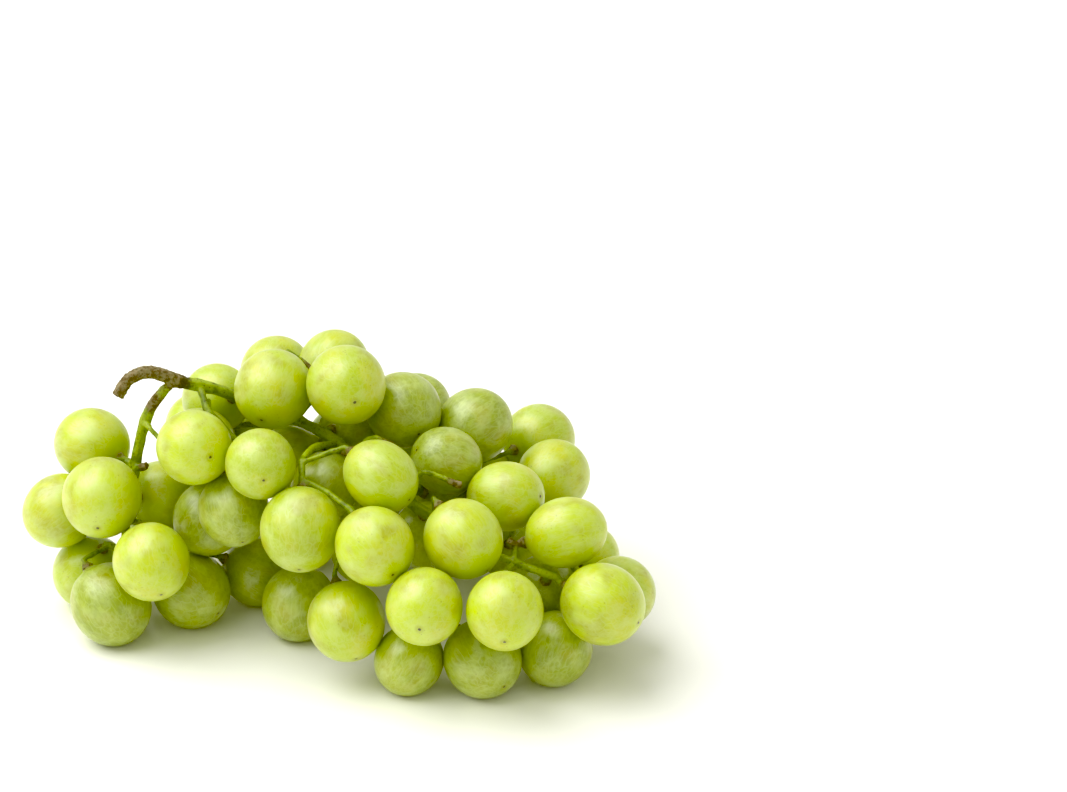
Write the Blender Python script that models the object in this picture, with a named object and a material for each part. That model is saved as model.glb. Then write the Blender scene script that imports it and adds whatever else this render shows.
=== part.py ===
"""A bunch of seeded white table grapes, lying on a table as it was cut from the vine.

The bunch has one branching stem and fifty-nine berries.  The stem starts at the cut,
hooked peduncle, gives off a wing at its first joint and runs on through the bunch to
the tip.  Each berry hangs on a short pedicel that ends in a flat receptacle under the
berry's crown.  X runs along the bunch, from the cut end to the tip, Y runs to the back
and Z is up.  The origin is in the middle of the bunch, on the table.

Places and sizes below are in millimetres, and are turned into metres when the meshes
are made.
"""

import math

import bmesh
import bpy
import numpy as np
from mathutils import Vector

MM = 0.001

# Berries
GAP = 0.35  # clear space kept between any two pieces
OVAL = 1.05  # usual length of a berry over its width
FLAT = 0.45  # how deep the foot of a berry is pressed flat on the table
BERRY_SIDES = 12
BERRY_RINGS = 7

# Stem
PEDICEL = 0.75  # radius of a stalk that bears one berry
THICKENING = 0.22  # a branch that bears n berries is n ** THICKENING times as thick
JOINT_SWELL = 1.18  # how much thicker the stem is where a branch leaves it
THINNEST = 0.45  # radius of a stalk where berries press on it from all sides
RECEPTACLE = 1.9  # radius of the disc that a berry sits on
RECEPTACLE_PLACES = (1.9, 0.9, 0.35, 0.0)  # behind the berry's crown
RECEPTACLE_SHAPE = (0.45, 0.72, 1.0, 0.93)  # as parts of the disc's radius
DRY_TIP = 1.15  # radius of the torn end of a stalk that has lost its berry
STRAIGHT = 3.0  # length over which a pedicel leaves its berry straight
STEP = 3.6  # spacing of the points along a branch
STEM_SIDES = 1  # bevel resolution of the branches: six sides
BRANCH_ROOM = 2.1  # space that the hand-laid branches need around their middle line

# Colours
SKIN = {
    "wing": (0.56, 0.62, 0.10),
    "shoulder": (0.58, 0.64, 0.12),
    "crest": (0.55, 0.62, 0.10),
    "front": (0.57, 0.63, 0.13),
    "tip": (0.60, 0.65, 0.14),
    "back": (0.48, 0.56, 0.08),
}
SKIN_ROUGHNESS = 0.3
STEM_GREEN = (0.30, 0.33, 0.06)
STEM_ROUGHNESS = 0.6


class Berry:
    """A berry: its middle, its width and length, and the way its far end points."""

    def __init__(self, x, y, z, width, faces=None, oval=OVAL):
        self.on_table = z is None
        self.middle = np.array([x, y, 0.0 if z is None else z], float)
        self.half_width = width / 2
        self.half_length = width * oval / 2
        self.axis = None if faces is None else direction(*faces)

    def crown(self, gap=0.0):
        return self.middle - self.axis * (self.half_length + gap)


def direction(turn, tilt):
    """The unit direction at a turn about Z from -Y towards +X, and a tilt above level."""
    turn, tilt = math.radians(turn), math.radians(tilt)
    level = math.cos(tilt)
    return np.array([math.sin(turn) * level, -math.cos(turn) * level, math.sin(tilt)])


def on_table(x, y, width, faces=None, oval=OVAL):
    return Berry(x, y, None, width, faces, oval)


# Where the berries hang: x, y, z and width, and for some the way that the far end,
# with its dry scar, points: turned about Z from the front and tilted up from level.
WING = [
    Berry(-76, 42, 47, 22),
    Berry(-70, 15, 43, 23, faces=(0, -20)),
    Berry(-84, 28, 32, 21.5, faces=(-55, -40)),
    Berry(-54, -1, 30, 22, faces=(30, -30)),
    on_table(-68, 7, 23, faces=(50, -45), oval=1.09),
    on_table(-77, 28, 22),
    on_table(-45, 17, 22.5, faces=(50, -20)),
    Berry(-55, 39, 31, 22),
    on_table(-59, 50, 21),
]
SHOULDER = [
    Berry(-41, 10, 62, 21.5, faces=(20, 15)),
    Berry(-42, 30, 53, 21.5),
    Berry(-38, 51, 59, 20.5),
    Berry(-45, 64, 43, 21),
    Berry(-30, 7, 43, 20.5, faces=(20, -35)),
    Berry(-39, 23, 32, 21.5),
    Berry(-18, 34, 47, 20),
    Berry(-38, 63, 22, 21),
    Berry(-21, 1, 61, 20, faces=(10, 0)),
]
CREST = [
    Berry(-19, 29, 72, 22.5, faces=(-15, -25), oval=1.06),
    Berry(3, 23, 76, 23, faces=(15, 0)),
    Berry(-21, 63, 62, 21.5),
    Berry(-3, 54, 68, 21),
    Berry(19, 33, 63, 22, faces=(25, -15)),
    Berry(22, 54, 54, 21),
    Berry(40, 37, 56, 22),
    Berry(33, 17, 54, 19.5, faces=(-65, 30), oval=1.1),
    Berry(59, 55, 42, 21.5),
    Berry(64, 34, 41, 21.5),
    Berry(2, 41, 52, 20),
    Berry(32, 29, 37, 20),
]
FRONT = [
    on_table(-26, 30, 21),
    Berry(-9, -11, 46, 23, faces=(0, -40), oval=1.07),
    on_table(-12, 9, 21.5, faces=(-25, -65)),
    Berry(5, -20, 20, 22, faces=(20, -40)),
    Berry(13, -21, 46, 22, faces=(30, -20)),
    Berry(27, -33, 33, 21.5, faces=(-5, -5)),
    on_table(22, -23, 19.5),
    Berry(14, -4, 59, 19.5, faces=(50, -20), oval=1.18),
    Berry(-3, 18, 47, 19.5),
    Berry(8, 19, 24, 21),
]
TIP = [
    on_table(43, -24, 22, faces=(35, -20)),
    on_table(64, -18, 21, faces=(-35, -50)),
    Berry(50, -36, 33, 21.5, faces=(0, -20)),
    Berry(38, -17, 46, 22, faces=(45, -35)),
    Berry(50, 6, 48, 20, faces=(60, 0), oval=1.16),
    Berry(67, -7, 43, 20, faces=(90, 15), oval=1.18),
    Berry(78, -23, 28, 23, faces=(55, -10), oval=1.06),
    Berry(83, -1, 20, 21),
    Berry(74, 17, 22, 19.5),
    Berry(26, 10, 33, 19.5),
    Berry(61, 1, 20, 19.5),
]
BACK = [
    on_table(-16, 59, 22),
    on_table(8, 58, 22),
    on_table(31, 54, 22),
    on_table(53, 43, 21.5),
    Berry(-24, 66, 40, 22),
    Berry(-1, 68, 36, 22),
    Berry(20, 64, 32, 21.5),
    Berry(42, 50, 32, 21.5),
]
GROUPS = {
    "wing": WING,
    "shoulder": SHOULDER,
    "crest": CREST,
    "front": FRONT,
    "tip": TIP,
    "back": BACK,
}

# The middle line of the stem, from the cut end to the tip.
MAIN_AXIS = [
    (-64.5, 24, 72),
    (-62, 26, 76),
    (-57, 28, 78),
    (-52, 29.5, 76.5),
    (-48, 30.5, 74),
    (-38, 35, 69.5),
    (-28, 40, 63),
    (-17, 39, 59.5),
    (-10, 34, 58),
    (-3, 28, 57),
    (6, 21, 53),
    (14, 14, 48.5),
    (23, 6, 45),
    (33, -1, 42),
    (45, -8, 37),
    (56, -12.5, 34.5),
    (65, -14, 32),
]
JOINT_OF_WING = 4  # the point of the main axis that the wing leaves from

# Branches laid by hand: the wing, and laterals that show between the berries.
WING_AXIS = [
    (-54, 30.5, 68),
    (-58, 31, 60),
    (-60, 31.5, 53),
    (-61.5, 30, 46),
    (-63, 27, 37),
    (-64.5, 21, 28),
    (-65, 18, 24),
]
LATERALS = [
    [(-7, 15.5, 59), (-9.5, 7, 58.5)],
    [(-38, 25, 66), (-39, 33, 66.5)],
    [(-25, 22, 52), (-27, 30, 48)],
]

# Stalks that have lost their berry, each from the branch beside its first point.
BARE_STALKS = [
    [(-55.5, 26, 60), (-53, 24.3, 58), (-52.4, 24, 52.5)],
    [(-60, 27.5, 46.5), (-57.5, 26.5, 48)],
    [(-26.5, 44.5, 66), (-29, 50, 70.5)],
    [(-9, 37, 65), (-8, 39.5, 74)],
    [(8, 15, 60.5), (12, 12.5, 64), (17, 12.5, 61)],
    [(23, 6, 51), (26, 5, 56.5), (37, 3, 53)],
    [(51, -8.5, 41)],
]

# Work that the layout takes
SETTLE_ROUNDS = 700
HOLD_ROUNDS = 466  # rounds in which the berries are still drawn to their laid places
HOLD = 0.02  # part of the way back to its laid place that a berry moves in one round
PART_EASE = 0.4  # part of what two berries lack in room that each gives in one round
BRANCH_EASE = 0.5  # part of what a branch lacks in room that a berry gives
TURN_EASE = 0.15  # part of what a crown's stalk lacks in room that it turns
BOW_ROUNDS = 110
BOW_EASE = 0.3  # how fast a pedicel straightens itself
BOW_PUSH = 0.8  # how fast berries press it aside
BOW_ROOM = 1.3  # the room that it asks for, in its own radii
NEAR_JOINTS = 14  # branch points tried for a pedicel
DETOURS = 6  # ways round tried when the straight way isn't clear
DETOUR = 9.0
ACROSS = (0.3, 0.5, 0.8)  # a way that no pedicel runs along, to start its detours from
TIGHT_COST = 60  # length of detour that is worth one millimetre of room
LONG_ENOUGH = 1.4  # a clear pedicel this much longer than the straight way is taken
CLEAR_SHARE = 0.6  # part of the gap that a stem squeezed between berries keeps
WELD = 0.01  # corners of a tube this close are one


class Crowd:
    """All the berries at once, as arrays: middles, axes and half sizes."""

    def __init__(self, berries):
        self.berries = berries
        self.middles = np.array([berry.middle for berry in berries])
        self.axes = np.array([berry.axis for berry in berries])
        self.widths = np.array([berry.half_width for berry in berries])
        self.lengths = np.array([berry.half_length for berry in berries])

    def reach(self, ways):
        """How far each berry reaches along its own column of unit directions."""
        along = np.einsum("ijk,jk->ij", ways, self.axes)
        return np.sqrt(self.widths**2 + (self.lengths**2 - self.widths**2) * along**2)

    def rooms(self, points):
        """The clear space between each point and each berry, and the way out of it."""
        off = points[:, None] - self.middles[None]
        length = np.linalg.norm(off, axis=2) + 1e-9
        ways = off / length[:, :, None]
        return length - self.reach(ways), ways

    def room(self, points, skip=None):
        """The least clear space around each point, leaving one berry out if asked."""
        rooms = self.rooms(points)[0]
        if skip is not None:
            rooms[:, self.berries.index(skip)] = 1000
        return rooms.min(axis=1)

    def push(self, points, room):
        """The move that takes each point as far from the berries as the room asks."""
        rooms, ways = self.rooms(points)
        return (np.clip(room - rooms, 0, None)[:, :, None] * ways).sum(axis=1)


def all_berries():
    return [berry for group in GROUPS.values() for berry in group]


def spaced(points, step):
    """The points of a smooth curve through hand-laid points, about a step apart."""
    points = np.array(points, float)
    ends = np.vstack([2 * points[0] - points[1], points, 2 * points[-1] - points[-2]])
    out = []
    for i in range(len(points) - 1):
        a, b, c, d = ends[i : i + 4]
        count = max(1, round(float(np.linalg.norm(c - b)) / step))
        for t in np.arange(count) / count:
            bend = 2 * b + (c - a) * t + (2 * a - 5 * b + 4 * c - d) * t**2
            out.append((bend + (3 * b - a - 3 * c + d) * t**3) / 2)
    return np.array(out + [points[-1]])


def unit(vector):
    return vector / np.linalg.norm(vector)


def aim(berries, branches):
    """Point every berry that has no set direction away from the branch nearest to it."""
    for berry in berries:
        if berry.axis is None:
            away = berry.middle - branches
            nearest = int(np.argmin(np.linalg.norm(away, axis=1)))
            berry.axis = unit(away[nearest])


def part_berries(crowd):
    """The moves that take the berries clear of one another."""
    rooms, ways = crowd.rooms(crowd.middles)
    along = np.einsum("ijk,ik->ij", ways, crowd.axes)
    longer = crowd.lengths**2 - crowd.widths**2
    reach = np.sqrt(crowd.widths[:, None] ** 2 + longer[:, None] * along**2)
    short = np.clip(reach + GAP - rooms, 0, None)
    np.fill_diagonal(short, 0)
    return PART_EASE * (short[:, :, None] * ways).sum(axis=1)


def clear_branches(crowd, branches):
    """The moves that take the berries clear of the branch points that crowd them most."""
    rooms, ways = crowd.rooms(branches)
    short = np.clip(BRANCH_ROOM + GAP - rooms, 0, None)
    worst = short.argmax(axis=0)
    column = np.arange(len(crowd.berries))
    return -BRANCH_EASE * short[worst, column][:, None] * ways[worst, column]


def turn_crowns(crowd):
    """Turn the berries a little, so that their crowns look into open space."""
    stalks = crowd.middles - crowd.axes * (crowd.lengths + GAP + STRAIGHT)[:, None]
    rooms, ways = crowd.rooms(stalks)
    short = np.clip(PEDICEL + 2 * GAP - rooms, 0, None)
    np.fill_diagonal(short, 0)
    stalks += TURN_EASE * (short[:, :, None] * ways).sum(axis=1)
    turned = crowd.middles - stalks
    crowd.axes = turned / np.linalg.norm(turned, axis=1)[:, None]


def stand_on_table(crowd):
    """Lower the berries that stand on the table to it, and keep the others above it."""
    up = np.array([[[0.0, 0.0, 1.0]]]).repeat(len(crowd.berries), axis=1)
    foot = crowd.reach(up)[0]
    standing = np.array([berry.on_table for berry in crowd.berries])
    height = crowd.middles[:, 2]
    crowd.middles[:, 2] = np.where(standing, foot - FLAT, np.maximum(height, foot + GAP))


def settle(berries, branches):
    """Ease the berries apart until each keeps clear of the others and of the branches."""
    crowd = Crowd(berries)
    laid = crowd.middles.copy()
    for turn in range(SETTLE_ROUNDS):
        move = part_berries(crowd) + clear_branches(crowd, branches)
        if turn < HOLD_ROUNDS:
            move += HOLD * (laid - crowd.middles)
        crowd.middles += move
        turn_crowns(crowd)
        stand_on_table(crowd)
    for berry, middle, axis in zip(berries, crowd.middles, crowd.axes):
        berry.middle = middle
        berry.axis = axis


class Stem:
    """The stem as a tree of points, each with the point that it grew from."""

    def __init__(self):
        self.points = []
        self.parent = []
        self.load = []
        self.runs = []

    def nearest(self, point):
        gaps = np.linalg.norm(np.array(self.points) - point, axis=1)
        return int(np.argmin(gaps))

    def grow(self, path, start=None, end=None):
        """Add a path that starts at a point of the stem, and return its point numbers."""
        run = [] if start is None else [start]
        for point in path:
            self.points.append(np.array(point, float))
            self.parent.append(run[-1] if run else None)
            self.load.append(0)
            run.append(len(self.points) - 1)
        self.runs.append((run, end))
        return run

    def bear(self, last):
        """Count one more berry on every point between this one and the cut end."""
        while last is not None:
            self.load[last] += 1
            last = self.parent[last]

    def radius(self, number):
        return PEDICEL * max(1, self.load[number]) ** THICKENING


def lay_branches():
    """The main axis, the wing and the hand-laid laterals, before any berry hangs on them."""
    stem = Stem()
    main = spaced(MAIN_AXIS, STEP)
    stem.grow(main)
    joint = stem.nearest(np.array(MAIN_AXIS[JOINT_OF_WING]))
    wing = spaced([stem.points[joint]] + WING_AXIS, STEP)
    stem.grow(wing[1:], joint)
    for lateral in LATERALS:
        start = stem.nearest(np.array(lateral[0]))
        stem.grow(spaced([stem.points[start]] + lateral, STEP)[1:], start)
    return stem


def bow(path, crowd):
    """Bow a path around the berries, like a stalk that they press aside.

    Its first two points and its last one stay where they are.
    """
    free = slice(2, -1)
    for _ in range(BOW_ROUNDS):
        ease = path[:-2] + path[2:] - 2 * path[1:-1]
        path[free] += BOW_EASE * ease[1:]
        path[free] += BOW_PUSH * crowd.push(path[free], PEDICEL * BOW_ROOM + GAP)
    return path


def ways_round(a, b, detours):
    """Paths from a to b, about a step from point to point: arcs that bulge all round."""
    count = max(4, math.ceil(float(np.linalg.norm(b - a)) / STEP))
    t = (np.arange(count) + 1)[:, None] / count
    straight = a + (b - a) * t
    if not detours:
        return [straight]
    side = unit(np.cross(b - a, ACROSS))
    other = unit(np.cross(b - a, side))
    turns = 2 * math.pi * np.arange(detours) / detours
    bulge = DETOUR * np.sin(math.pi * t)
    return [straight + bulge * (math.cos(w) * side + math.sin(w) * other) for w in turns]


def pedicel(stem, berry, crowd):
    """The shortest clear path from a berry's crown to the stem, and where it joins."""
    out = berry.crown(GAP + STRAIGHT)
    gaps = np.linalg.norm(np.array(stem.points) - out, axis=1)
    nearest = np.argsort(gaps)[:NEAR_JOINTS]
    best = None
    for detours in (0, DETOURS):
        for number in nearest:
            for way in ways_round(out, stem.points[number], detours):
                path = bow(np.vstack([berry.crown(GAP), out, way]), crowd)
                steps = np.linalg.norm(np.diff(path, axis=0), axis=1)
                seen = np.vstack([path[1:], (path[1:] + path[:-1])[1:] / 2])
                tight = max(0.0, PEDICEL + GAP / 2 - float(crowd.room(seen).min()))
                cost = float(steps.sum()) + TIGHT_COST * tight
                if best is None or cost < best[0]:
                    best = (cost, path, int(number), tight)
            if best[3] == 0 and best[0] < LONG_ENOUGH * gaps[number] + STRAIGHT:
                return best[1:]
        if best[3] == 0:
            break
    return best[1:]


def hang_berries(stem, crowd):
    """Join every berry to the stem, the ones whose crowns are nearest first."""
    waiting = list(crowd.berries)
    while waiting:
        points = np.array(stem.points)
        gaps = [np.linalg.norm(points - berry.crown(STRAIGHT), axis=1).min() for berry in waiting]
        berry = waiting.pop(int(np.argmin(gaps)))
        path, joint, tight = pedicel(stem, berry, crowd)
        if tight > 0:
            print(f"a pedicel is {tight:.2f} mm short of room at {np.round(berry.middle)}")
        run = stem.grow(path[-2::-1], joint, berry)
        stem.bear(run[-1])


def drawn_run(stem, run, end, joints, crowd):
    """The points and radii of a run's tube, thinner where berries leave little room."""
    points = [stem.points[number] for number in run]
    radii = [stem.radius(number) for number in run]
    radii[0] = min(radii[0], radii[1])
    for i, number in enumerate(run[1:], 1):
        if number in joints:
            radii[i] *= JOINT_SWELL
    if end == "bare":
        radii[-1] = DRY_TIP
    bearing = isinstance(end, Berry)
    if bearing:
        crown = points[-1]
        back = unit(points[-2] - crown)
        points[-1:] = [crown + back * away for away in RECEPTACLE_PLACES]
        radii[-1:] = [RECEPTACLE * part for part in RECEPTACLE_SHAPE]
    points = np.array(points)
    room = crowd.room(points)
    halfway = crowd.room((points[1:] + points[:-1]) / 2)
    room[:-1] = np.minimum(room[:-1], halfway)
    room[1:] = np.minimum(room[1:], halfway)
    if bearing:
        disc = slice(-len(RECEPTACLE_PLACES), None)
        room[disc] = crowd.room(points[disc], skip=end)
    return points, np.minimum(radii, np.maximum(room - GAP * CLEAR_SHARE, THINNEST))


def tubes(name, runs):
    """One mesh object of a round tube for each run of points and radii."""
    curve = bpy.data.curves.new(name, "CURVE")
    curve.dimensions = "3D"
    curve.bevel_depth = MM
    curve.bevel_resolution = STEM_SIDES
    curve.use_fill_caps = True
    for points, radii in runs:
        spline = curve.splines.new("POLY")
        spline.points.add(len(points) - 1)
        for target, point, radius in zip(spline.points, points, radii):
            target.co = (*(Vector(point) * MM), 1)
            target.radius = radius
    drawn = bpy.data.objects.new(name + "_line", curve)
    bpy.context.scene.collection.objects.link(drawn)
    graph = bpy.context.evaluated_depsgraph_get()
    mesh = bpy.data.meshes.new_from_object(drawn.evaluated_get(graph))
    bpy.data.objects.remove(drawn)
    body = bmesh.new()
    body.from_mesh(mesh)
    bmesh.ops.remove_doubles(body, verts=body.verts, dist=WELD * MM)
    bmesh.ops.recalc_face_normals(body, faces=body.faces)
    body.to_mesh(mesh)
    body.free()
    mesh.name = name
    return bpy.data.objects.new(name, mesh)


def principled(name, colour, roughness):
    material = bpy.data.materials.new(name)
    material.use_nodes = True
    shader = material.node_tree.nodes["Principled BSDF"]
    shader.inputs["Base Color"].default_value = (*colour, 1)
    shader.inputs["Roughness"].default_value = roughness
    shader.inputs["Metallic"].default_value = 0
    return material


def outer_skin(body):
    """Delete the small pockets that joined tubes can shut in, and keep the outside."""
    waiting = set(body.faces)
    skins = []
    while waiting:
        skin = set()
        edge_of_skin = [waiting.pop()]
        while edge_of_skin:
            face = edge_of_skin.pop()
            skin.add(face)
            beside = {other for edge in face.edges for other in edge.link_faces}
            found = beside & waiting
            waiting -= found
            edge_of_skin.extend(found)
        skins.append(skin)
    outside = max(skins, key=len)
    pockets = [face for face in body.faces if face not in outside]
    bmesh.ops.delete(body, geom=pockets, context="FACES")


def make_stem(stem, crowd, parts):
    """The stem's tubes joined into one body."""
    joints = [run[0] for run, _ in stem.runs[1:]]
    runs = [drawn_run(stem, run, end, joints, crowd) for run, end in stem.runs]
    trunk = tubes("stem", runs[:1])
    twigs = tubes("twigs", runs[1:])
    for piece in (trunk, twigs):
        parts.objects.link(piece)
    union = trunk.modifiers.new("grown together", "BOOLEAN")
    union.operation = "UNION"
    union.solver = "EXACT"
    union.use_self = True
    union.object = twigs
    graph = bpy.context.evaluated_depsgraph_get()
    joined = bpy.data.meshes.new_from_object(trunk.evaluated_get(graph))
    trunk.modifiers.remove(union)
    bpy.data.objects.remove(twigs)
    body = bmesh.new()
    body.from_mesh(joined)
    outer_skin(body)
    body.to_mesh(joined)
    body.free()
    trunk.data = joined
    joined.name = "stem"
    joined.materials.clear()
    joined.materials.append(principled("stem_green", STEM_GREEN, STEM_ROUGHNESS))
    joined.shade_smooth()
    return trunk


def make_berry(name, berry, material, parts):
    """A berry as a stretched ball, cut flat where it stands on the table."""
    body = bmesh.new()
    bmesh.ops.create_uvsphere(
        body, u_segments=BERRY_SIDES, v_segments=BERRY_RINGS, radius=berry.half_width * MM
    )
    stretch = berry.half_length / berry.half_width - 1
    axis = Vector(berry.axis)
    for corner in body.verts:
        corner.co += axis * corner.co.dot(axis) * stretch
    if berry.on_table:
        bmesh.ops.bisect_plane(
            body,
            geom=body.verts[:] + body.edges[:] + body.faces[:],
            plane_co=(0, 0, -berry.middle[2] * MM),
            plane_no=(0, 0, -1),
            clear_outer=True,
        )
        bmesh.ops.contextual_create(body, geom=[edge for edge in body.edges if edge.is_boundary])
    mesh = bpy.data.meshes.new(name)
    body.to_mesh(mesh)
    body.free()
    mesh.shade_smooth()
    mesh.materials.append(material)
    ball = bpy.data.objects.new(name, mesh)
    ball.location = Vector(berry.middle) * MM
    parts.objects.link(ball)
    return ball


def middle_of(objects):
    """The middle, in X and Y, of the box around the objects."""
    corners = [o.matrix_world @ v.co for o in objects for v in o.data.vertices]
    low = [min(corner[k] for corner in corners) for k in (0, 1)]
    high = [max(corner[k] for corner in corners) for k in (0, 1)]
    return [(low[k] + high[k]) / 2 for k in (0, 1)]


def main():
    for old in list(bpy.data.objects):
        bpy.data.objects.remove(old, do_unlink=True)
    parts = bpy.data.collections.new("bunch_of_grapes")
    bpy.context.scene.collection.children.link(parts)

    stem = lay_branches()
    berries = all_berries()
    branches = np.array(stem.points)
    aim(berries, branches)
    settle(berries, branches)
    crowd = Crowd(berries)
    hang_berries(stem, crowd)
    for stalk in BARE_STALKS:
        start = stem.nearest(np.array(stalk[0]))
        stem.grow(spaced([stem.points[start]] + stalk, STEP)[1:], start, "bare")

    objects = [make_stem(stem, crowd, parts)]
    for group, members in GROUPS.items():
        skin = principled(f"{group}_berry_skin", SKIN[group], SKIN_ROUGHNESS)
        for number, berry in enumerate(members, 1):
            name = f"{group}_berry_{number}"
            objects.append(make_berry(name, berry, skin, parts))

    holder = bpy.data.objects.new("bunch", None)
    parts.objects.link(holder)
    bpy.context.view_layer.update()
    x, y = middle_of(objects)
    for piece in objects:
        piece.parent = holder
    holder.location = (-x, -y, 0)
    print(f"{len(berries)} berries, middle moved by {x / MM:.1f}, {y / MM:.1f} mm")


main()
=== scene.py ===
# %% [markdown]
# # A bunch of white grapes
#
# This lesson dresses a plain model of a bunch of grapes.  The plain model gives one
# branching stem and fifty-nine berries, each in its true place.  We measure them, model
# one good berry, copy it to every place, grow a bark on the stem, and then build skin and
# bark materials from patterns that follow the fruit.
#
# Blender counts in metres, and grapes are easiest to think about in millimetres.  So MM
# turns a number of millimetres into metres.

import math

import bmesh
import bpy
import numpy as np
from mathutils import Matrix, Vector, noise


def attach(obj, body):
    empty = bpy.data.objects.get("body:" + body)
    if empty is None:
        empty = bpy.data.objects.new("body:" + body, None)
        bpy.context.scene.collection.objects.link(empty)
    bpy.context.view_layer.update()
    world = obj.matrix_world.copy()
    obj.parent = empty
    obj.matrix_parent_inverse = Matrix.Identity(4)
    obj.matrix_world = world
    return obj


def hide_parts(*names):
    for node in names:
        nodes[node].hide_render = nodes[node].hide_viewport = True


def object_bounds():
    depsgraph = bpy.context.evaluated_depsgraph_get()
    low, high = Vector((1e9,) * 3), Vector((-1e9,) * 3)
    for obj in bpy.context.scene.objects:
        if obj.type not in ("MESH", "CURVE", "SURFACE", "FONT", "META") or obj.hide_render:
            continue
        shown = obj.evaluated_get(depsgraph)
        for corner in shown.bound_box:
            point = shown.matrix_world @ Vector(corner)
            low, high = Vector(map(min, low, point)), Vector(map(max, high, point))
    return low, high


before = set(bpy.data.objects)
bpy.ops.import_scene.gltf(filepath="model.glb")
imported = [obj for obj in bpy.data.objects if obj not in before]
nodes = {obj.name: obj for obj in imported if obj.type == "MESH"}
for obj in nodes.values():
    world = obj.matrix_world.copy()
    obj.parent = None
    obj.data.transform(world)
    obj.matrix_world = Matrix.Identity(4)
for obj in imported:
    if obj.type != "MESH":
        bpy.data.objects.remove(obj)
cad_low, cad_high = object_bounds()
MM = 0.001
berry_names = sorted(name for name in nodes if "_berry_" in name)
cad_size = [round(side / MM, 1) for side in cad_high - cad_low]
print(f"{len(berry_names)} berries and one stem,", cad_size, "mm")

# %% [markdown]
# ## Camera
#
# The bunch is seen from the front and a little above, from nearly a metre away with a
# long lens, so that near and far berries look the same size.  It lies to the left and
# low in the picture, so the camera aims at a point to the right of it and above it.

# %% Place the camera
CAMERA_HEIGHT_ANGLE = math.radians(25)
CAMERA_DISTANCE = 0.9
CAMERA_LENS = 103.65
AIM_POINT = Vector((59.0, 2.4, 74.6)) * MM

camera_data = bpy.data.cameras.new("camera")
camera_data.lens = CAMERA_LENS
camera = bpy.data.objects.new("camera", camera_data)
bpy.context.scene.collection.objects.link(camera)
back = Vector((0, -math.cos(CAMERA_HEIGHT_ANGLE), math.sin(CAMERA_HEIGHT_ANGLE)))
camera.location = AIM_POINT + back * CAMERA_DISTANCE
camera.rotation_euler = (math.pi / 2 - CAMERA_HEIGHT_ANGLE, 0, 0)
bpy.context.scene.camera = camera
print("camera at", [round(v, 3) for v in camera.location])

# %% [markdown]
# ## Light and floor
#
# White grapes glow when the light wraps round them.  A white sky fills every shadow,
# a wide soft lamp high on the left gives each berry its milky patch of shine, and a
# pale floor throws light back up from below.
#
# The picture is shown plainly, with one change.  A small black level for blue takes a
# little blue out of every tone, and most of it out of the dark ones, so that the shaded
# sides of the fruit stay a warm yellow green.

# %% Set the sky, the lamp and the floor
SKY_STRENGTH = 0.68
BLUE_CUT = 0.045
KEY_SIZE = 1.9
KEY_POWER = 31.0
KEY_PLACE = Vector((-0.78, -0.02, 1.4))
FLOOR_SIZE = 8.0
FLOOR_DROP = 0.0001
FLOOR_COLOUR = (0.96, 0.955, 0.88, 1)
FLOOR_ROUGHNESS = 0.8

world = bpy.data.worlds.new("studio")
bpy.context.scene.world = world
world.use_nodes = True
sky = world.node_tree.nodes["Background"]
sky.inputs["Color"].default_value = (1, 1, 1, 1)
sky.inputs["Strength"].default_value = SKY_STRENGTH
view = bpy.context.scene.view_settings
view.view_transform = "Standard"
view.use_curve_mapping = True
view.curve_mapping.black_level = (0, 0, BLUE_CUT)
view.curve_mapping.update()

key_data = bpy.data.lights.new("key", "AREA")
key_data.shape = "DISK"
key_data.size = KEY_SIZE
key_data.energy = KEY_POWER
key = bpy.data.objects.new("key", key_data)
bpy.context.scene.collection.objects.link(key)
key.location = KEY_PLACE
key.rotation_euler = (-KEY_PLACE).to_track_quat("-Z", "Y").to_euler()

bpy.ops.object.select_all(action="DESELECT")
bpy.ops.mesh.primitive_plane_add(size=FLOOR_SIZE, location=(0, 0, -FLOOR_DROP))
floor = bpy.context.object
floor.name = "floor"
bpy.ops.object.transform_apply(location=True)
paper = bpy.data.materials.new("pale_floor")
paper.use_nodes = True
paper_shader = paper.node_tree.nodes["Principled BSDF"]
paper_shader.inputs["Base Color"].default_value = FLOOR_COLOUR
paper_shader.inputs["Roughness"].default_value = FLOOR_ROUGHNESS
floor.data.materials.append(paper)
print("floor and lamp are in place")

# %% [markdown]
# ## Measure the berries
#
# Each plain berry is a ball stretched along one axis, so its corners lie on an
# ellipsoid.  Nine numbers describe any ellipsoid, and a least squares fit finds them.
# From these come the berry's middle, its width and length, and the axis that it grew
# along.  The end of the axis that lies near the stem is the crown.


# %% Fit an ellipsoid to every berry
def fit_ellipsoid(points):
    """The middle, the half sizes from long to short and the axes of the best ellipsoid."""
    start = points.mean(axis=0)
    x, y, z = ((points - start) / MM).T
    squares = [x * x, y * y, z * z]
    products = [2 * x * y, 2 * x * z, 2 * y * z]
    terms = np.column_stack([*squares, *products, 2 * x, 2 * y, 2 * z])
    a, b, c, d, e, f, g, h, i = np.linalg.lstsq(terms, np.ones(len(points)), rcond=None)[0]
    form = np.array([[a, d, e], [d, b, f], [e, f, c]])
    middle = -np.linalg.solve(form, [g, h, i])
    scale = 1 + middle @ form @ middle
    values, ways = np.linalg.eigh(form)
    return start + middle * MM, np.sqrt(scale / values) * MM, ways.T


def points_of(mesh):
    """The corners of a mesh, as rows of x, y and z."""
    flat = np.empty(len(mesh.vertices) * 3, np.float32)
    mesh.vertices.foreach_get("co", flat)
    return flat.reshape(-1, 3).astype(float)


def gap_to_stem(point):
    return np.linalg.norm(stem_points - point, axis=1).min()


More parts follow.
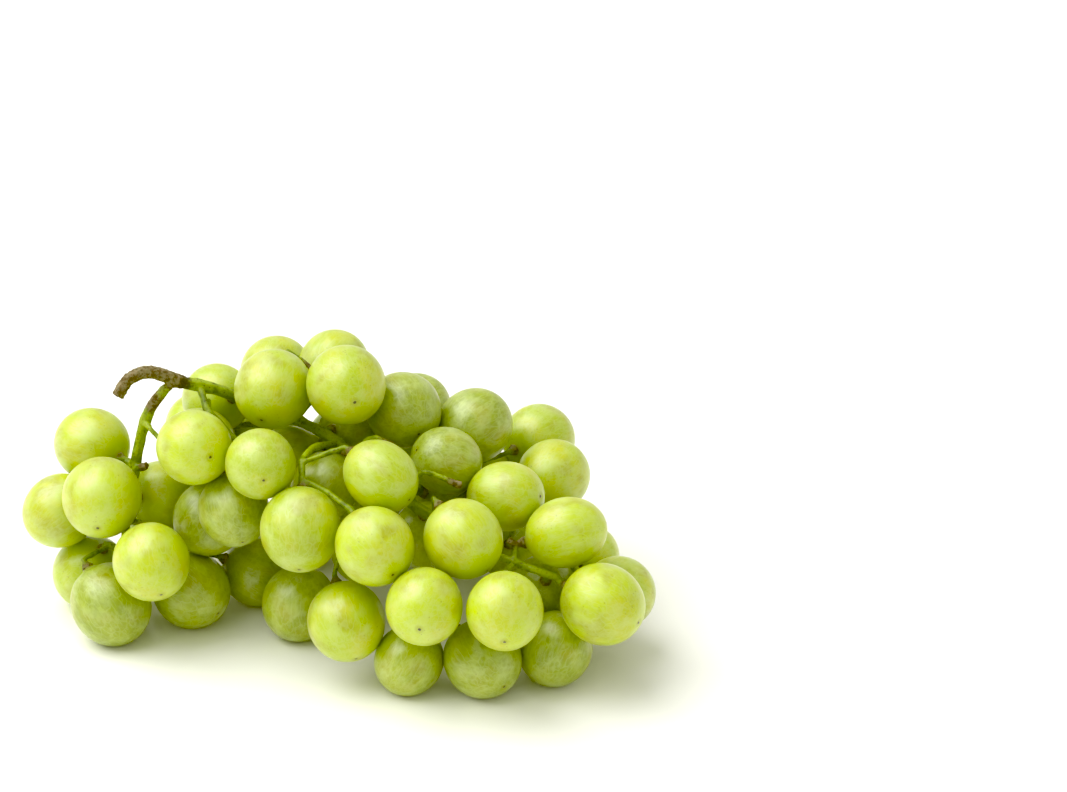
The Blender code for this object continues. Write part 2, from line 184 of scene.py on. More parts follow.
PRESSED_FLAT = 0.05 * MM  # corners lower than this belong to a foot, and not to the ball
stem_points = points_of(nodes["stem"].data)
berries = {}
for name in berry_names:
    corners = points_of(nodes[name].data)
    middle, halves, ways = fit_ellipsoid(corners[corners[:, 2] > PRESSED_FLAT])
    axis, length = ways[0], halves[0]
    ends = [gap_to_stem(middle + side * axis * length) for side in (1, -1)]
    if ends[0] < ends[1]:
        axis = -axis
    berries[name] = {
        "middle": middle,
        "axis": axis,
        "width": halves[1:].mean(),
        "length": length,
        "gap": min(ends),
    }
widths = [2 * berry["width"] / MM for berry in berries.values()]
widest_gap = max(berry["gap"] for berry in berries.values()) / MM
print(f"berries {min(widths):.1f} to {max(widths):.1f} mm wide")
print(f"crowns {widest_gap:.2f} mm from the stem at most")

# %% [markdown]
# ## One good berry
#
# A grape is a tight little balloon.  At one end the dried style leaves a black dot in a
# tiny dimple, and at the other the skin rises out of a shallow moat to meet the stem.
# A ball with its poles at those two ends has its rings just where this detail is
# needed.  Insets at the poles add the small rings, moves in and out shape them, and one
# round of subdivision makes it all smooth.


# %% Model the pattern berry
def only(piece):
    """Make a piece the only one selected, and the active one."""
    bpy.ops.object.select_all(action="DESELECT")
    piece.select_set(True)
    bpy.context.view_layer.objects.active = piece


def pick_cap(piece, side, width):
    """In edit mode, select the faces around one pole out to a width."""
    bpy.ops.mesh.select_all(action="DESELECT")
    cage = bmesh.from_edit_mesh(piece.data)
    for face in cage.faces:
        middle = face.calc_center_median()
        face.select_set(middle.z * side > 0 and math.hypot(middle.x, middle.y) < width)
    bmesh.update_edit_mesh(piece.data)


SIDES = 32
RINGS = 20
SCAR_RINGS = [(0.05, -0.004), (0.04, -0.012), (0.028, 0.012)]  # each an inset and a rise
CROWN_MOAT = 0.33
MOAT_DEPTH = 0.018
PAD_INSET = 0.02
PAD_RISE = 0.062

bpy.ops.object.select_all(action="DESELECT")
bpy.ops.mesh.primitive_uv_sphere_add(segments=SIDES, ring_count=RINGS, radius=1)
pattern = bpy.context.object
pattern.name = "berry_pattern"
bpy.ops.object.mode_set(mode="EDIT")
bpy.ops.mesh.select_mode(type="FACE")
cap = math.sin(math.pi / RINGS)  # the faces that meet at a pole reach this far out
pick_cap(pattern, 1, cap)
for width, rise in SCAR_RINGS:
    bpy.ops.mesh.inset(thickness=width, use_even_offset=False)
    bpy.ops.transform.translate(value=(0, 0, rise))
pick_cap(pattern, -1, CROWN_MOAT)
bpy.ops.transform.translate(value=(0, 0, MOAT_DEPTH))
pick_cap(pattern, -1, cap)
bpy.ops.mesh.inset(thickness=PAD_INSET, use_even_offset=False)
bpy.ops.transform.translate(value=(0, 0, -PAD_RISE))
bpy.ops.object.mode_set(mode="OBJECT")
smooth = pattern.modifiers.new("smooth", "SUBSURF")
smooth.levels = smooth.render_levels = 1
only(pattern)
bpy.ops.object.modifier_apply(modifier=smooth.name)
bpy.ops.object.shade_smooth()

place = pattern.data.attributes.new("berry_place", "FLOAT_VECTOR", "POINT")
place.data.foreach_set("vector", points_of(pattern.data).astype(np.float32).ravel())
print("pattern berry:", len(pattern.data.polygons), "faces")

# %% [markdown]
# ## Tint: painted light and shade
#
# Berries in the open are painted a lighter gold, as painted light, and those in the shade of
# the bunch a dull deep green, as painted shade.  One number for each berry says how light or
# dark it is, and the skin reads it later.  The golden and the deep green berries are named,
# all others lie between, and chance adds a little to each.

# %% Give each berry its tint
CHANCE_SEED = 7
PAINTED_LIT_TINT = (0.75, 0.25)  # the least tint, and what chance may add to it
PAINTED_SHADE_TINT = (0.0, 0.14)
USUAL_TINT = (0.35, 0.25)
random = np.random.default_rng(CHANCE_SEED)


def named(group, numbers):
    return {f"{group}_berry_{number}" for number in numbers}


# These berries lie in the light, and their lighter golden tint is painted light.
PAINTED_LIT_BERRIES = (
    named("wing", (1, 2, 3, 4))
    | named("front", (5, 6))
    | named("tip", (3, 4, 6, 7))
    | named("shoulder", (1, 4))
)
# These berries lie in the shade of the bunch, and their dull deep green is painted shade.
PAINTED_SHADE_BERRIES = (
    named("wing", (5, 7, 9))
    | named("shoulder", (5, 6, 7, 8))
    | named("crest", (5, 6, 7, 8, 11, 12))
    | named("front", (1, 3, 7, 9))
    | named("tip", (1, 2, 10, 11))
    | named("back", range(1, 6))
)


def tint_with_painted_light(name):
    """A berry's tint, from 0 for grey-green to 1 for golden, low where shade is painted and high where
    light is painted.
    """
    low, spread = USUAL_TINT
    if name in PAINTED_LIT_BERRIES:
        low, spread = PAINTED_LIT_TINT
    elif name in PAINTED_SHADE_BERRIES:
        low, spread = PAINTED_SHADE_TINT
    return low + spread * random.random()


print(len(PAINTED_LIT_BERRIES), "berries are golden and", len(PAINTED_SHADE_BERRIES), "deep green")

# %% [markdown]
# ## Copy the berry to every place
#
# Each copy has a mesh of its own, stretched to its berry's width and length, turned so
# that its poles meet the crown and the scar, and spun by its own angle so that no two
# look alike.  A few slow waves make it a little uneven, as grown things are.  Where a
# berry lies on the table, the part that would go through it is pressed flat.

# %% Make the berries
SKIN_SWELL = 0.38 * MM  # the plain berries keep clear of each other, real ones press together
WAVE_DEPTH = 0.010
WAVE_SCALE = 1.1
SEED_SPREAD = 40  # the width of noise that the seeds of the berries are spread over


def place_berry(name, berry):
    """A copy of the pattern at a berry's place, with its own waves, seed and tint, which carries
    painted light and shade.
    """
    piece = pattern.copy()
    piece.data = pattern.data.copy()
    piece.name = piece.data.name = name.replace("berry", "grape")
    bpy.context.scene.collection.objects.link(piece)
    seed = random.random(3) * SEED_SPREAD
    local = points_of(piece.data)
    waves = [noise.noise(Vector(point * WAVE_SCALE + seed)) for point in local]
    local *= 1 + WAVE_DEPTH * np.array(waves)[:, None]
    spin = Matrix.Rotation(random.random() * math.tau, 4, "Z")
    turn = Vector(berry["axis"]).to_track_quat("Z", "Y").to_matrix().to_4x4()
    width = berry["width"] + SKIN_SWELL
    size = Matrix.Diagonal((width, width, berry["length"] + SKIN_SWELL, 1))
    whole = np.array(Matrix.Translation(berry["middle"]) @ turn @ size @ spin)
    world = local @ whole[:3, :3].T + whole[:3, 3]
    world[:, 2] = np.maximum(world[:, 2], 0.0)
    piece.data.vertices.foreach_set("co", world.astype(np.float32).ravel())
    kept = (("berry_seed", "FLOAT_VECTOR", seed), ("tint", "FLOAT", tint_with_painted_light(name)))
    for label, kind, value in kept:
        layer = piece.data.attributes.new(label, kind, "POINT")
        values = np.tile(value, len(local)).astype(np.float32)
        layer.data.foreach_set("vector" if kind == "FLOAT_VECTOR" else "value", values)
    piece.data.update()
    return piece


grapes = {name: place_berry(name, berries[name]) for name in berry_names}
bpy.data.objects.remove(pattern)
print(len(grapes), "grapes placed")

# %% [markdown]
# ## The stem
#
# The plain stem is many six-sided tubes grown together.  It could be drawn again as
# curves, but then each joint would need its own work.  Instead its own surface is kept: a
# voxel remesh rounds the joints into one skin, smoothing takes the facets away, and
# displacement gives the twigs their uneven thickness.  Smoothing shrinks thin stalks, so
# a copy of the mesh is swollen first.

# %% Copy the stem and swell it
BARK_SWELL = 0.16 * MM
SAME_CORNER = 0.001 * MM


def apply_modifier(piece, name, kind, **settings):
    modifier = piece.modifiers.new(name, kind)
    for setting, value in settings.items():
        setattr(modifier, setting, value)
    only(piece)
    bpy.ops.object.modifier_apply(modifier=modifier.name)


stem = bpy.data.objects.new("stem_bark", nodes["stem"].data.copy())
bpy.context.scene.collection.objects.link(stem)
only(stem)
bpy.ops.object.mode_set(mode="EDIT")
bpy.ops.mesh.select_all(action="SELECT")
bpy.ops.mesh.remove_doubles(threshold=SAME_CORNER)
bpy.ops.mesh.normals_make_consistent(inside=False)
bpy.ops.object.mode_set(mode="OBJECT")
apply_modifier(stem, "swell", "DISPLACE", strength=BARK_SWELL, mid_level=0)
print("plain stem:", len(stem.data.polygons), "faces")

# %% [markdown]
# ### The wing
#
# The wing is the side branch at the first joint.  Its axis stands in the open and is
# stouter than the twigs inside.  A vertex group holds the corners near its middle line,
# so that a second swelling reaches them alone.  The line follows the plain stem.

# %% Make the wing stouter
WING_LINE = [(-53, 14.4, 71), (-57, 15, 62), (-59, 15.4, 53), (-60.6, 14, 46), (-62, 11, 38)]
WING_REACH = 3.2  # this and the line are in millimetres
WING_SWELL = 0.42 * MM

line = np.array(WING_LINE)
corners = points_of(stem.data) / MM
to_wing = np.full(len(corners), np.inf)
for a, b in zip(line[:-1], line[1:]):
    share = np.clip((corners - a) @ (b - a) / ((b - a) @ (b - a)), 0, 1)
    beside = a + share[:, None] * (b - a)
    to_wing = np.minimum(to_wing, np.linalg.norm(corners - beside, axis=1))
wing_corners = np.flatnonzero(to_wing < WING_REACH)
wing_group = stem.vertex_groups.new(name="wing")
wing_group.add([int(i) for i in wing_corners], 1.0, "REPLACE")
apply_modifier(stem, "stouter wing", "DISPLACE", strength=WING_SWELL, mid_level=0, vertex_group="wing")
print(len(wing_corners), "corners on the wing")

# %% [markdown]
# ### One skin
#
# The remesh melts the tubes together at a grain fine enough for the thinnest stalk, and a
# few rounds of smoothing take away its steps.

# %% Melt the tubes into one skin
VOXEL = 0.38 * MM
SMOOTH_SHARE = 0.5
SMOOTH_ROUNDS = 5

apply_modifier(stem, "one skin", "REMESH", mode="VOXEL", voxel_size=VOXEL)
apply_modifier(stem, "round", "SMOOTH", factor=SMOOTH_SHARE, iterations=SMOOTH_ROUNDS)
print("one skin:", len(stem.data.polygons), "faces")

# %% [markdown]
# ### Knobs, dry ends and the scar
#
# Under each berry the stalk widens into a warty knob.  Where the bunch was cut, at the
# woody joint and where a berry has dropped off, the stem dried and turned to cork.  A
# scar rings the main axis just past its joint with the wing.  Each of these is a value
# from 0 to 1 on the corners of the mesh, which both the relief and the bark will read.
# The dry ends and the scar are at places on the plain stem, in millimetres.

# %% Mark the knobs, the dry ends and the scar
KNOB_NEAR = 1.6 * MM
KNOB_FAR = 3.4 * MM
# How near a crown the painted shade on the twigs is full, and over how far it fades, in millimetres.
TWIG_SHADE_NEAR = 3
TWIG_SHADE_FADE = 9
DRY_ENDS = {  # each with how far its dryness spreads
    (-63.6, 8, 72): 9,
    (-61.1, 10, 76): 7,
    (-56.1, 12, 78): 6,
    (-51.1, 13.5, 76.5): 5,
    (-54, 14.4, 67.5): 4,
    (-47.1, 14.4, 74): 4,
    (-51.5, 8, 52.5): 4,
    (-56.6, 10.4, 48): 3,
    (-28.1, 34, 70.5): 4,
    (-7.1, 23.4, 74): 4,
    (17.9, -3.6, 61): 5,
    (37.9, -13.1, 53): 5,
    (51.9, -24.6, 41): 3,
}
DRY_FULL = 1.4
SCAR_RING = (-45.1, 15.4, 73)
SCAR_RING_WIDTH = 2.6
RING_FULL = 1.5


def close_to(spot, spread, full):
    """1 near a spot, and 0 from so many times its spread."""
    return np.clip(full - np.linalg.norm(bark_points / MM - spot, axis=1) / spread, 0, 1)


bark_points = points_of(stem.data)
crowns = [berry["middle"] - berry["axis"] * berry["length"] for berry in berries.values()]
to_crown = np.min([np.linalg.norm(bark_points - crown, axis=1) for crown in crowns], axis=0)
knob = 1 - np.clip((to_crown - KNOB_NEAR) / (KNOB_FAR - KNOB_NEAR), 0, 1)
# Twigs within a few millimetres of a crown run in among the berries; this mask marks them for painted
# shade.
twig_shade = 1 - np.clip((to_crown / MM - TWIG_SHADE_NEAR) / TWIG_SHADE_FADE, 0, 1)
dry = np.max([close_to(spot, spread, DRY_FULL) for spot, spread in DRY_ENDS.items()], axis=0)
ring = close_to(SCAR_RING, SCAR_RING_WIDTH, RING_FULL)
for label, values in (("knob", knob), ("dry", dry), ("ring", ring), ("twig_shade", twig_shade)):
    layer = stem.data.attributes.new(label, "FLOAT", "POINT")
    layer.data.foreach_set("value", values.astype(np.float32))
print(int((knob > 0.5).sum()), "corners on knobs,", int((dry > 0.5).sum()), "on dry wood")

# %% [markdown]
# ### Relief of the bark
#
# Slow lumps make every twig a little uneven.  Small warts rise on top of them, strongly
# on the knobs and the dry wood and faintly elsewhere.  They are real displacement, so
# that the outline of the stem shows them too.

# %% Raise lumps and warts
LUMP_SIZE = 3.5 * MM
LUMP_HEIGHT = 0.45 * MM
WART_SIZE = 0.9 * MM
WART_HEIGHT = 0.55 * MM
WART_LEVEL = 0.42
LEAST_ROUGH = 0.25

rough = stem.vertex_groups.new(name="rough")
for i, weight in enumerate(np.clip(LEAST_ROUGH + knob + dry, 0, 1)):
    rough.add([i], float(weight), "REPLACE")
lumps = bpy.data.textures.new("slow_lumps", "CLOUDS")
lumps.noise_scale = LUMP_SIZE
warts = bpy.data.textures.new("warts", "CLOUDS")
warts.noise_scale = WART_SIZE
apply_modifier(stem, "slow lumps", "DISPLACE", texture=lumps, strength=LUMP_HEIGHT, mid_level=0.5)
wart_settings = {"strength": WART_HEIGHT, "mid_level": WART_LEVEL, "vertex_group": "rough"}
apply_modifier(stem, "warts", "DISPLACE", texture=warts, **wart_settings)
only(stem)
bpy.ops.object.shade_smooth()
print("stem:", len(stem.data.polygons), "faces")

# %% [markdown]
# ## Materials
#
# Node helpers first.  A material is a recipe of small steps, so these few functions
# keep each step to one short line.


# %% Node helpers
class Recipe:
    """A node tree that is written one step at a time."""

    def __init__(self, tree):
        self.tree = tree

    def node(self, kind, **settings):
        node = self.tree.nodes.new(kind)
        for setting, value in settings.items():
            setattr(node, setting, value)
        return node

    def feed(self, socket, source):
        """Link a socket to another socket, or set it to a plain value."""
        if isinstance(source, bpy.types.NodeSocket):
            self.tree.links.new(source, socket)
        elif source is not None:
            socket.default_value = source

    def math(self, operation, a, b=None, c=None, clamp=False):
        node = self.node("ShaderNodeMath", operation=operation, use_clamp=clamp)
        for socket, source in zip(node.inputs, (a, b, c)):
            self.feed(socket, source)
        return node.outputs[0]

    def ramp(self, value, low, high, to_low=0.0, to_high=1.0):
        """A smooth step of a value from low to high."""
        node = self.node("ShaderNodeMapRange", interpolation_type="SMOOTHSTEP")
        for label, source in (
            ("Value", value),
            ("From Min", low),
            ("From Max", high),
            ("To Min", to_low),
            ("To Max", to_high),
        ):
            self.feed(node.inputs[label], source)
        return node.outputs["Result"]

    def mix(self, share, a, b):
        """Two colours mixed: the node's colours are its inputs 6 and 7, and its output 2."""
        node = self.node("ShaderNodeMix", data_type="RGBA")
        self.feed(node.inputs["Factor"], share)
        self.feed(node.inputs[6], a)
        self.feed(node.inputs[7], b)
        return node.outputs[2]

    def noise(self, place, scale, detail=2.0, rough=0.5):
        node = self.node("ShaderNodeTexNoise")
        self.feed(node.inputs["Vector"], place)
        self.feed(node.inputs["Scale"], scale)
        self.feed(node.inputs["Detail"], detail)
        self.feed(node.inputs["Roughness"], rough)
        return node.outputs["Fac"]

    def cells(self, place, scale, feature="F1"):
        """The distance to the middle of a cell, or with DISTANCE_TO_EDGE to its wall."""
        node = self.node("ShaderNodeTexVoronoi", feature=feature)
        self.feed(node.inputs["Vector"], place)
        self.feed(node.inputs["Scale"], scale)
        return node.outputs["Distance"]

    def attribute(self, label, output="Fac"):
        return self.node("ShaderNodeAttribute", attribute_name=label).outputs[output]

    def vector(self, operation, a, b=None):
        node = self.node("ShaderNodeVectorMath", operation=operation)
        self.feed(node.inputs[0], a)
        self.feed(node.inputs[1], b)
        return node.outputs["Value" if operation == "DISTANCE" else "Vector"]


def new_group(name, inputs, outputs):
    """A node group with named float, vector or colour sockets."""
    kinds = {"float": "NodeSocketFloat", "vector": "NodeSocketVector", "colour": "NodeSocketColor"}
    tree = bpy.data.node_groups.new(name, "ShaderNodeTree")
    for label, kind in inputs.items():
        tree.interface.new_socket(name=label, in_out="INPUT", socket_type=kinds[kind])
    for label, kind in outputs.items():
        tree.interface.new_socket(name=label, in_out="OUTPUT", socket_type=kinds[kind])
    recipe = Recipe(tree)
    return recipe, recipe.node("NodeGroupInput").outputs, recipe.node("NodeGroupOutput").inputs


# %% [markdown]
# ### Specks
#
# Skin and bark both carry small brown specks, the pores through which they breathe.
# They are scattered cells, kept only where a slow noise says so, so that they come in
# loose drifts.  Both materials use them, so they are a node group.

# %% Build the specks group
SPECK_CORE = 0.4  # the part of a speck that is full dark
DRIFT_SCALE = 0.22
DRIFT_EDGE = 0.1

recipe, given, told = new_group(
    "specks",
    {"Place": "vector", "Scale": "float", "Size": "float", "Share": "float"},
    {"Mask": "float"},
)
dots = recipe.cells(given["Place"], given["Scale"])
dots = recipe.ramp(dots, given["Size"], recipe.math("MULTIPLY", given["Size"], SPECK_CORE))
drift_scale = recipe.math("MULTIPLY", given["Scale"], DRIFT_SCALE)
drift = recipe.noise(given["Place"], drift_scale, 1.0)
edge = recipe.math("SUBTRACT", 1.0, given["Share"])
keep = recipe.ramp(drift, edge, recipe.math("ADD", edge, DRIFT_EDGE))
recipe.feed(told["Mask"], recipe.math("MULTIPLY", dots, keep))
specks = recipe.tree
print("group:", specks.name)


def add_specks(recipe, place, scale, size, share):
    node = recipe.node("ShaderNodeGroup", node_tree=specks)
    for label, source in (("Place", place), ("Scale", scale), ("Size", size), ("Share", share)):
        recipe.feed(node.inputs[label], source)
    return node.outputs["Mask"]


# %% [markdown]
# ### Grape skin: ground colour
#
# The skin runs from a dull deep green to a light yellow green with the berry's tint, which is
# painted shade on berries in the shade of the bunch and painted light on those in the open,
# with golden patches that grow with the tint and a fine mottle all over.  Image textures
# would need a map for every berry.  Noise needs none: it is read at the berry's own place,
# which runs from -1 to 1 between its poles, with the berry's seed added, so no two look alike.

# %% Mix the ground colour
SKIN_LIGHT = (0.50, 0.61, 0.007, 1)
SKIN_DEEP_SHADE = (0.225, 0.29, 0.016, 1)
SKIN_GREEN = (0.40, 0.51, 0.005, 1)
SKIN_GOLD = (0.52, 0.55, 0.005, 1)
GOLD_SCALE = 1.1
LOW_TINT_GOLD = 0.2
MOTTLE_SCALE = 5.0
MOTTLE_SHARE = 0.35

skin = bpy.data.materials.new("grape_skin")
skin.use_nodes = True
recipe = Recipe(skin.node_tree)
shader = skin.node_tree.nodes["Principled BSDF"]
local = recipe.attribute("berry_place", "Vector")
here = recipe.vector("ADD", local, recipe.attribute("berry_seed", "Vector"))
tint = recipe.attribute("tint")
# Low tint brings in the deep green, the painted shade of shaded berries, and high tint the light
# yellow green, their painted light.
colour = recipe.mix(recipe.ramp(tint, 0.0, 0.5), SKIN_DEEP_SHADE, SKIN_GREEN)
colour = recipe.mix(recipe.ramp(tint, 0.3, 0.9), colour, SKIN_LIGHT)
sunny = recipe.ramp(recipe.noise(here, GOLD_SCALE), 0.42, 0.68)
# The golden patches grow with the tint, so they are strongest where light is painted.
gold = recipe.math("MULTIPLY", sunny, recipe.ramp(tint, 0.0, 0.5, LOW_TINT_GOLD, 1.0))
colour = recipe.mix(gold, colour, SKIN_GOLD)
mottle = recipe.noise(here, MOTTLE_SCALE, 4.0, 0.6)
colour = recipe.mix(recipe.ramp(mottle, 0.35, 0.7, 0.0, MOTTLE_SHARE), colour, SKIN_GREEN)
print("ground colour:", len(skin.node_tree.nodes), "nodes")

# %% [markdown]
# ### Grape skin: seeds
#
# The seeds show through the flesh as darker, browner clouds.  They lie round the belly of
# the berry, so the clouds fade towards both poles.

# %% Let the seeds show through
SEED_SHADE = (0.33, 0.32, 0.004, 1)
SEED_SCALE = 1.7
SEED_SHARE = 0.65

parts = recipe.node("ShaderNodeSeparateXYZ")
recipe.feed(parts.inputs[0], local)
squares = [recipe.math("POWER", parts.outputs[i], 2.0) for i in (0, 1)]
across = recipe.math("SQRT", recipe.math("ADD", *squares))
cloud = recipe.ramp(recipe.noise(here, SEED_SCALE, 1.5), 0.46, 0.72)
seeds = recipe.math("MULTIPLY", cloud, recipe.ramp(across, 0.35, 0.95))
colour = recipe.mix(recipe.math("MULTIPLY", seeds, SEED_SHARE), colour, SEED_SHADE)
print("with seeds:", len(skin.node_tree.nodes), "nodes")

# %% [markdown]
# ### Grape skin: veins and bloom
#
# Fine pale veins run from the crown to the scar.  The pattern is scaled up more across
# the berry than along it, which draws cells and noise out into long threads, and another
# noise bends them.  Over it all lies the bloom, a pale wax that is rubbed off in patches.

# %% Draw the veins and lay the bloom
BLOOM = (0.54, 0.64, 0.22, 1)
THREAD_SCALE = (6, 6, 1.4)
SWAY_SCALE = 3.0
VEIN_SCALE = 0.9
VEIN_WIDTH = 0.09
STREAK_SCALE = 1.9
VEIN_SHARE = 0.38
BLOOM_SCALE = 2.3
BLOOM_RANGE = (0.06, 0.38)  # how much wax there is where it is rubbed off, and where not

stretch = recipe.node("ShaderNodeMapping")
recipe.feed(stretch.inputs["Vector"], here)
stretch.inputs["Scale"].default_value = THREAD_SCALE
threads = stretch.outputs[0]
sway = recipe.node("ShaderNodeTexNoise")
recipe.feed(sway.inputs["Vector"], here)
sway.inputs["Scale"].default_value = SWAY_SCALE
bent = recipe.vector("ADD", threads, sway.outputs["Color"])
walls = recipe.ramp(recipe.cells(bent, VEIN_SCALE, "DISTANCE_TO_EDGE"), VEIN_WIDTH, 0.0)
streaks = recipe.ramp(recipe.noise(threads, STREAK_SCALE, 4.0, 0.65), 0.45, 0.62)
walls = recipe.math("MULTIPLY", walls, 0.8)
streaks = recipe.math("MULTIPLY", streaks, 0.6)
veins = recipe.math("MAXIMUM", walls, streaks)
colour = recipe.mix(recipe.math("MULTIPLY", veins, VEIN_SHARE), colour, BLOOM)

patch = recipe.noise(here, BLOOM_SCALE, 5.0, 0.62)
bloom = recipe.ramp(patch, 0.40, 0.66, *BLOOM_RANGE)
colour = recipe.mix(bloom, colour, BLOOM)
print("with veins and bloom:", len(skin.node_tree.nodes), "nodes")

# %% [markdown]
# ### Grape skin: specks, scar and crown
#
# Brown specks drift over the skin.  The scar is a black dot with a wavy edge in a darker
# ring, and the skin browns where it meets the stem.  Distances from the two poles place
# them.

# %% Add the specks, the scar and the crown
SPECK = (0.22, 0.20, 0.03, 1)
SCAR = (0.035, 0.028, 0.012, 1)
SPECK_SHARE = 0.6
SCAR_RING_SHARE = 0.35
SCAR_WOBBLE = 0.045
CROWN_SHARE = 0.6

spots = add_specks(recipe, here, 9.0, 0.20, 0.50)
colour = recipe.mix(recipe.math("MULTIPLY", spots, SPECK_SHARE), colour, SPECK)
to_scar = recipe.vector("DISTANCE", local, (0, 0, 1))
scar_ring = recipe.ramp(to_scar, 0.16, 0.07)
colour = recipe.mix(recipe.math("MULTIPLY", scar_ring, SCAR_RING_SHARE), colour, SEED_SHADE)
wobble = recipe.math("MULTIPLY", recipe.noise(here, 14.0), SCAR_WOBBLE)
dot = recipe.ramp(recipe.math("ADD", to_scar, wobble), 0.070, 0.052)
colour = recipe.mix(dot, colour, SCAR)
pad = recipe.ramp(recipe.vector("DISTANCE", local, (0, 0, -1)), 0.24, 0.13)
colour = recipe.mix(recipe.math("MULTIPLY", pad, CROWN_SHARE), colour, SEED_SHADE)
recipe.feed(shader.inputs["Base Color"], colour)
print("with specks, scar and crown:", len(skin.node_tree.nodes), "nodes")

# %% [markdown]
# ### Grape skin: gloss and relief
#
# Wax is duller than bare skin, so the bloom also sets the roughness.  Under it pores and
# the mottle make the skin faintly uneven, and the scar is sunk.  The wax itself is a coat
# over the skin, whose wide, soft shine gives each berry its milky patch.

# %% Set the gloss and the relief
SKIN_ROUGHNESS = 0.31
WAX_ROUGHNESS = 0.35  # what full bloom adds to it
PORE_SCALE = 26.0
PORE_HEIGHT = 0.5
MOTTLE_HEIGHT = 1.2
SKIN_RELIEF = 0.12 * MM
SKIN_RELIEF_SHARE = 0.3
WAX_RANGE = (0.5, 1.0)
WAX_GLOSS = 0.42
WAX_IOR = 1.6
SKIN_IOR = 1.45
SKIN_SPECULAR = 0.6

dulled = recipe.math("MULTIPLY", bloom, WAX_ROUGHNESS)
recipe.feed(shader.inputs["Roughness"], recipe.math("ADD", dulled, SKIN_ROUGHNESS))
pores = recipe.math("MULTIPLY", recipe.noise(here, PORE_SCALE, 3.0, 0.6), PORE_HEIGHT)
height = recipe.math("ADD", pores, recipe.math("MULTIPLY", mottle, MOTTLE_HEIGHT))
bump = recipe.node("ShaderNodeBump")
bump.inputs["Strength"].default_value = SKIN_RELIEF_SHARE
bump.inputs["Distance"].default_value = SKIN_RELIEF
recipe.feed(bump.inputs["Height"], recipe.math("SUBTRACT", height, dot))
recipe.feed(shader.inputs["Normal"], bump.outputs[0])
recipe.feed(shader.inputs["Coat Weight"], recipe.ramp(patch, 0.35, 0.65, *WAX_RANGE))
shader.inputs["Coat Roughness"].default_value = WAX_GLOSS
shader.inputs["Coat IOR"].default_value = WAX_IOR
shader.inputs["IOR"].default_value = SKIN_IOR
shader.inputs["Specular IOR Level"].default_value = SKIN_SPECULAR
print("with gloss and relief:", len(skin.node_tree.nodes), "nodes")

# %% [markdown]
# ### Grape skin: clear flesh
#
# The flesh is clear, so light goes in, scatters and comes out again some way off.  Glass
# would let the stem and the table show through, which a whole grape doesn't do.
# Subsurface scattering gives the glow without that.  Blue light goes less far than red
# and green, which makes the thin edges yellower.

# %% Let light into the flesh
FLESH_REACH = 9.0 * MM
FLESH_COLOURS = (1.0, 1.0, 0.25)  # how far red, green and blue go, as parts of the reach

shader.inputs["Subsurface Weight"].default_value = 1.0
shader.inputs["Subsurface Radius"].default_value = FLESH_COLOURS
shader.inputs["Subsurface Scale"].default_value = FLESH_REACH
for grape in grapes.values():
    grape.data.materials.clear()
    grape.data.materials.append(skin)
print("skin:", len(skin.node_tree.nodes), "nodes")

# %% [markdown]
# ### Stem bark: green and cork
#
# A fresh grape stem is lime green where it is young, with darker drifts, and its twigs among the
# berries are darker with painted shade.
# Where it was cut, where it joints and where a berry has dropped off it turns brown and
# corky, and so do the knobs under the berries.  The values marked on the mesh say where,
# and a fine noise frays their edges.

# %% Mix the green and the cork
STEM_LIME = (0.34, 0.44, 0.035, 1)
STEM_DARK = (0.10, 0.155, 0.012, 1)
CORK = (0.10, 0.062, 0.025, 1)
CORK_GREY = (0.235, 0.19, 0.105, 1)
DRIFT_SHARE = 0.6
TWIG_SHADE_SHARE = 0.55
KNOB_CORK = 0.8

bark = bpy.data.materials.new("stem_bark")
bark.use_nodes = True
recipe = Recipe(bark.node_tree)
shader = bark.node_tree.nodes["Principled BSDF"]
where = recipe.vector("SCALE", recipe.node("ShaderNodeTexCoord").outputs["Object"])
where.node.inputs["Scale"].default_value = 1 / MM
slow = recipe.noise(where, 0.22, 3.0, 0.6)
fine = recipe.noise(where, 1.6, 4.0, 0.65)
colour = recipe.mix(recipe.ramp(slow, 0.30, 0.52), STEM_DARK, STEM_LIME)
colour = recipe.mix(recipe.ramp(fine, 0.45, 0.7, 0, DRIFT_SHARE), colour, STEM_DARK)
# The twigs among the berries are darkened: painted shade where the berries crowd round them.
painted_twig_shade = recipe.math("MULTIPLY", recipe.attribute("twig_shade"), TWIG_SHADE_SHARE)
colour = recipe.mix(painted_twig_shade, colour, STEM_DARK)

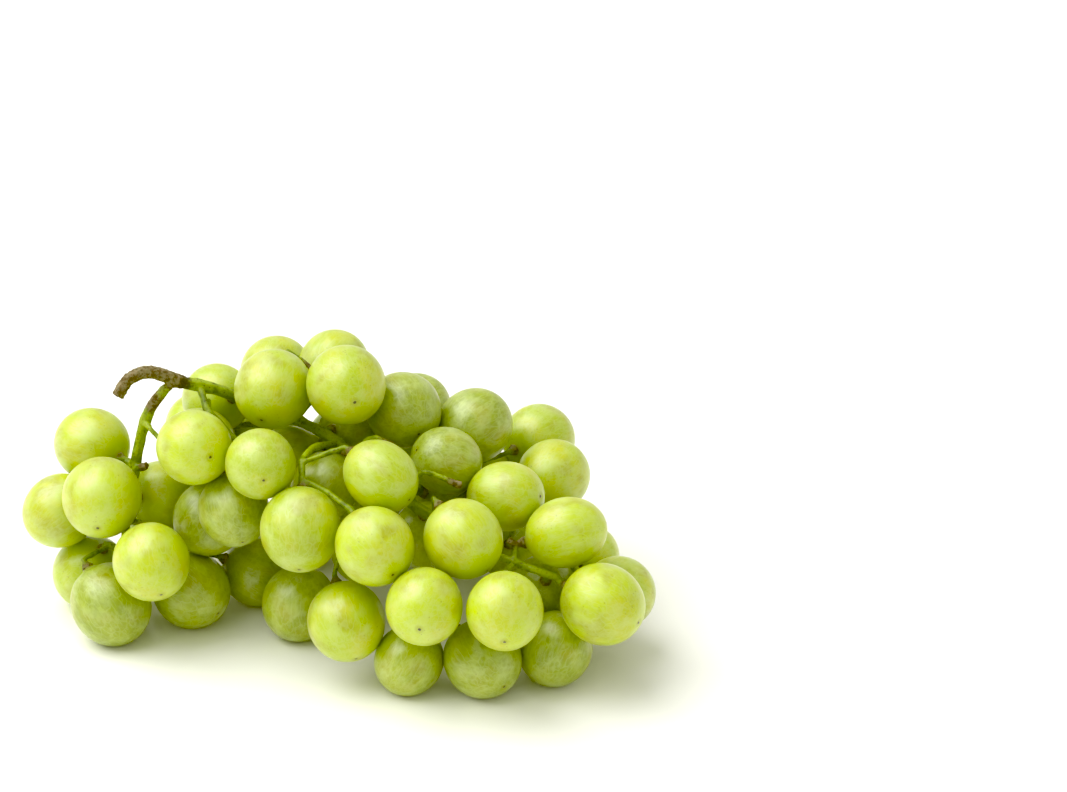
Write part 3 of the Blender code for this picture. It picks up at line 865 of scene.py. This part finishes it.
woody = recipe.math("MULTIPLY", recipe.attribute("knob"), KNOB_CORK)
woody = recipe.math("ADD", woody, recipe.attribute("dry"))
woody = recipe.math("ADD", woody, recipe.math("SUBTRACT", fine, 0.55))
woody = recipe.ramp(woody, 0.15, 0.75)
grey = recipe.ramp(recipe.noise(where, 0.55, 4.0, 0.7), 0.42, 0.58)
colour = recipe.mix(woody, colour, recipe.mix(grey, CORK, CORK_GREY))
print("green and cork:", len(bark.node_tree.nodes), "nodes")

# %% [markdown]
# ### Stem bark: pits, scar and relief
#
# Dark pits lie in the bark, the scar rings the axis in nearly black cork, and cork is
# duller than green bark.  Fine bumps and the sunk pits finish it.

# %% Finish the bark
CORK_DARK = (0.05, 0.035, 0.015, 1)
PIT_SHARE = 0.7
PIT_DEPTH = 0.6
RING_SHARE = 0.85
GREEN_ROUGHNESS = 0.5
CORK_ROUGHNESS = 0.85
BARK_RELIEF = 0.15 * MM
BARK_RELIEF_SHARE = 0.5

pits = add_specks(recipe, where, 0.9, 0.34, 0.62)
colour = recipe.mix(recipe.math("MULTIPLY", pits, PIT_SHARE), colour, CORK_DARK)
frayed = recipe.math("SUBTRACT", fine, 0.5)
scar_ring = recipe.math("ADD", recipe.attribute("ring"), frayed)
colour = recipe.mix(recipe.ramp(scar_ring, 0.3, 0.7, 0, RING_SHARE), colour, CORK_DARK)
recipe.feed(shader.inputs["Base Color"], colour)
roughness = recipe.ramp(woody, 0, 1, GREEN_ROUGHNESS, CORK_ROUGHNESS)
recipe.feed(shader.inputs["Roughness"], roughness)
bump = recipe.node("ShaderNodeBump")
bump.inputs["Strength"].default_value = BARK_RELIEF_SHARE
bump.inputs["Distance"].default_value = BARK_RELIEF
sunk = recipe.math("MULTIPLY", pits, PIT_DEPTH)
recipe.feed(bump.inputs["Height"], recipe.math("SUBTRACT", fine, sunk))
recipe.feed(shader.inputs["Normal"], bump.outputs[0])
shader.inputs["Subsurface Weight"].default_value = 0.15
shader.inputs["Subsurface Scale"].default_value = 1.0 * MM
stem.data.materials.clear()
stem.data.materials.append(bark)
print("bark:", len(bark.node_tree.nodes), "nodes")

# %% [markdown]
# ## Put the pieces in place
#
# Every grape and the stem take the place of the plain piece that they were made from, which
# is hidden, and ride on the same body.

# %% Hide the plain pieces and attach the new ones to the body
for name, grape in grapes.items():
    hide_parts(name)
    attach(grape, "root")
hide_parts("stem")
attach(stem, "root")
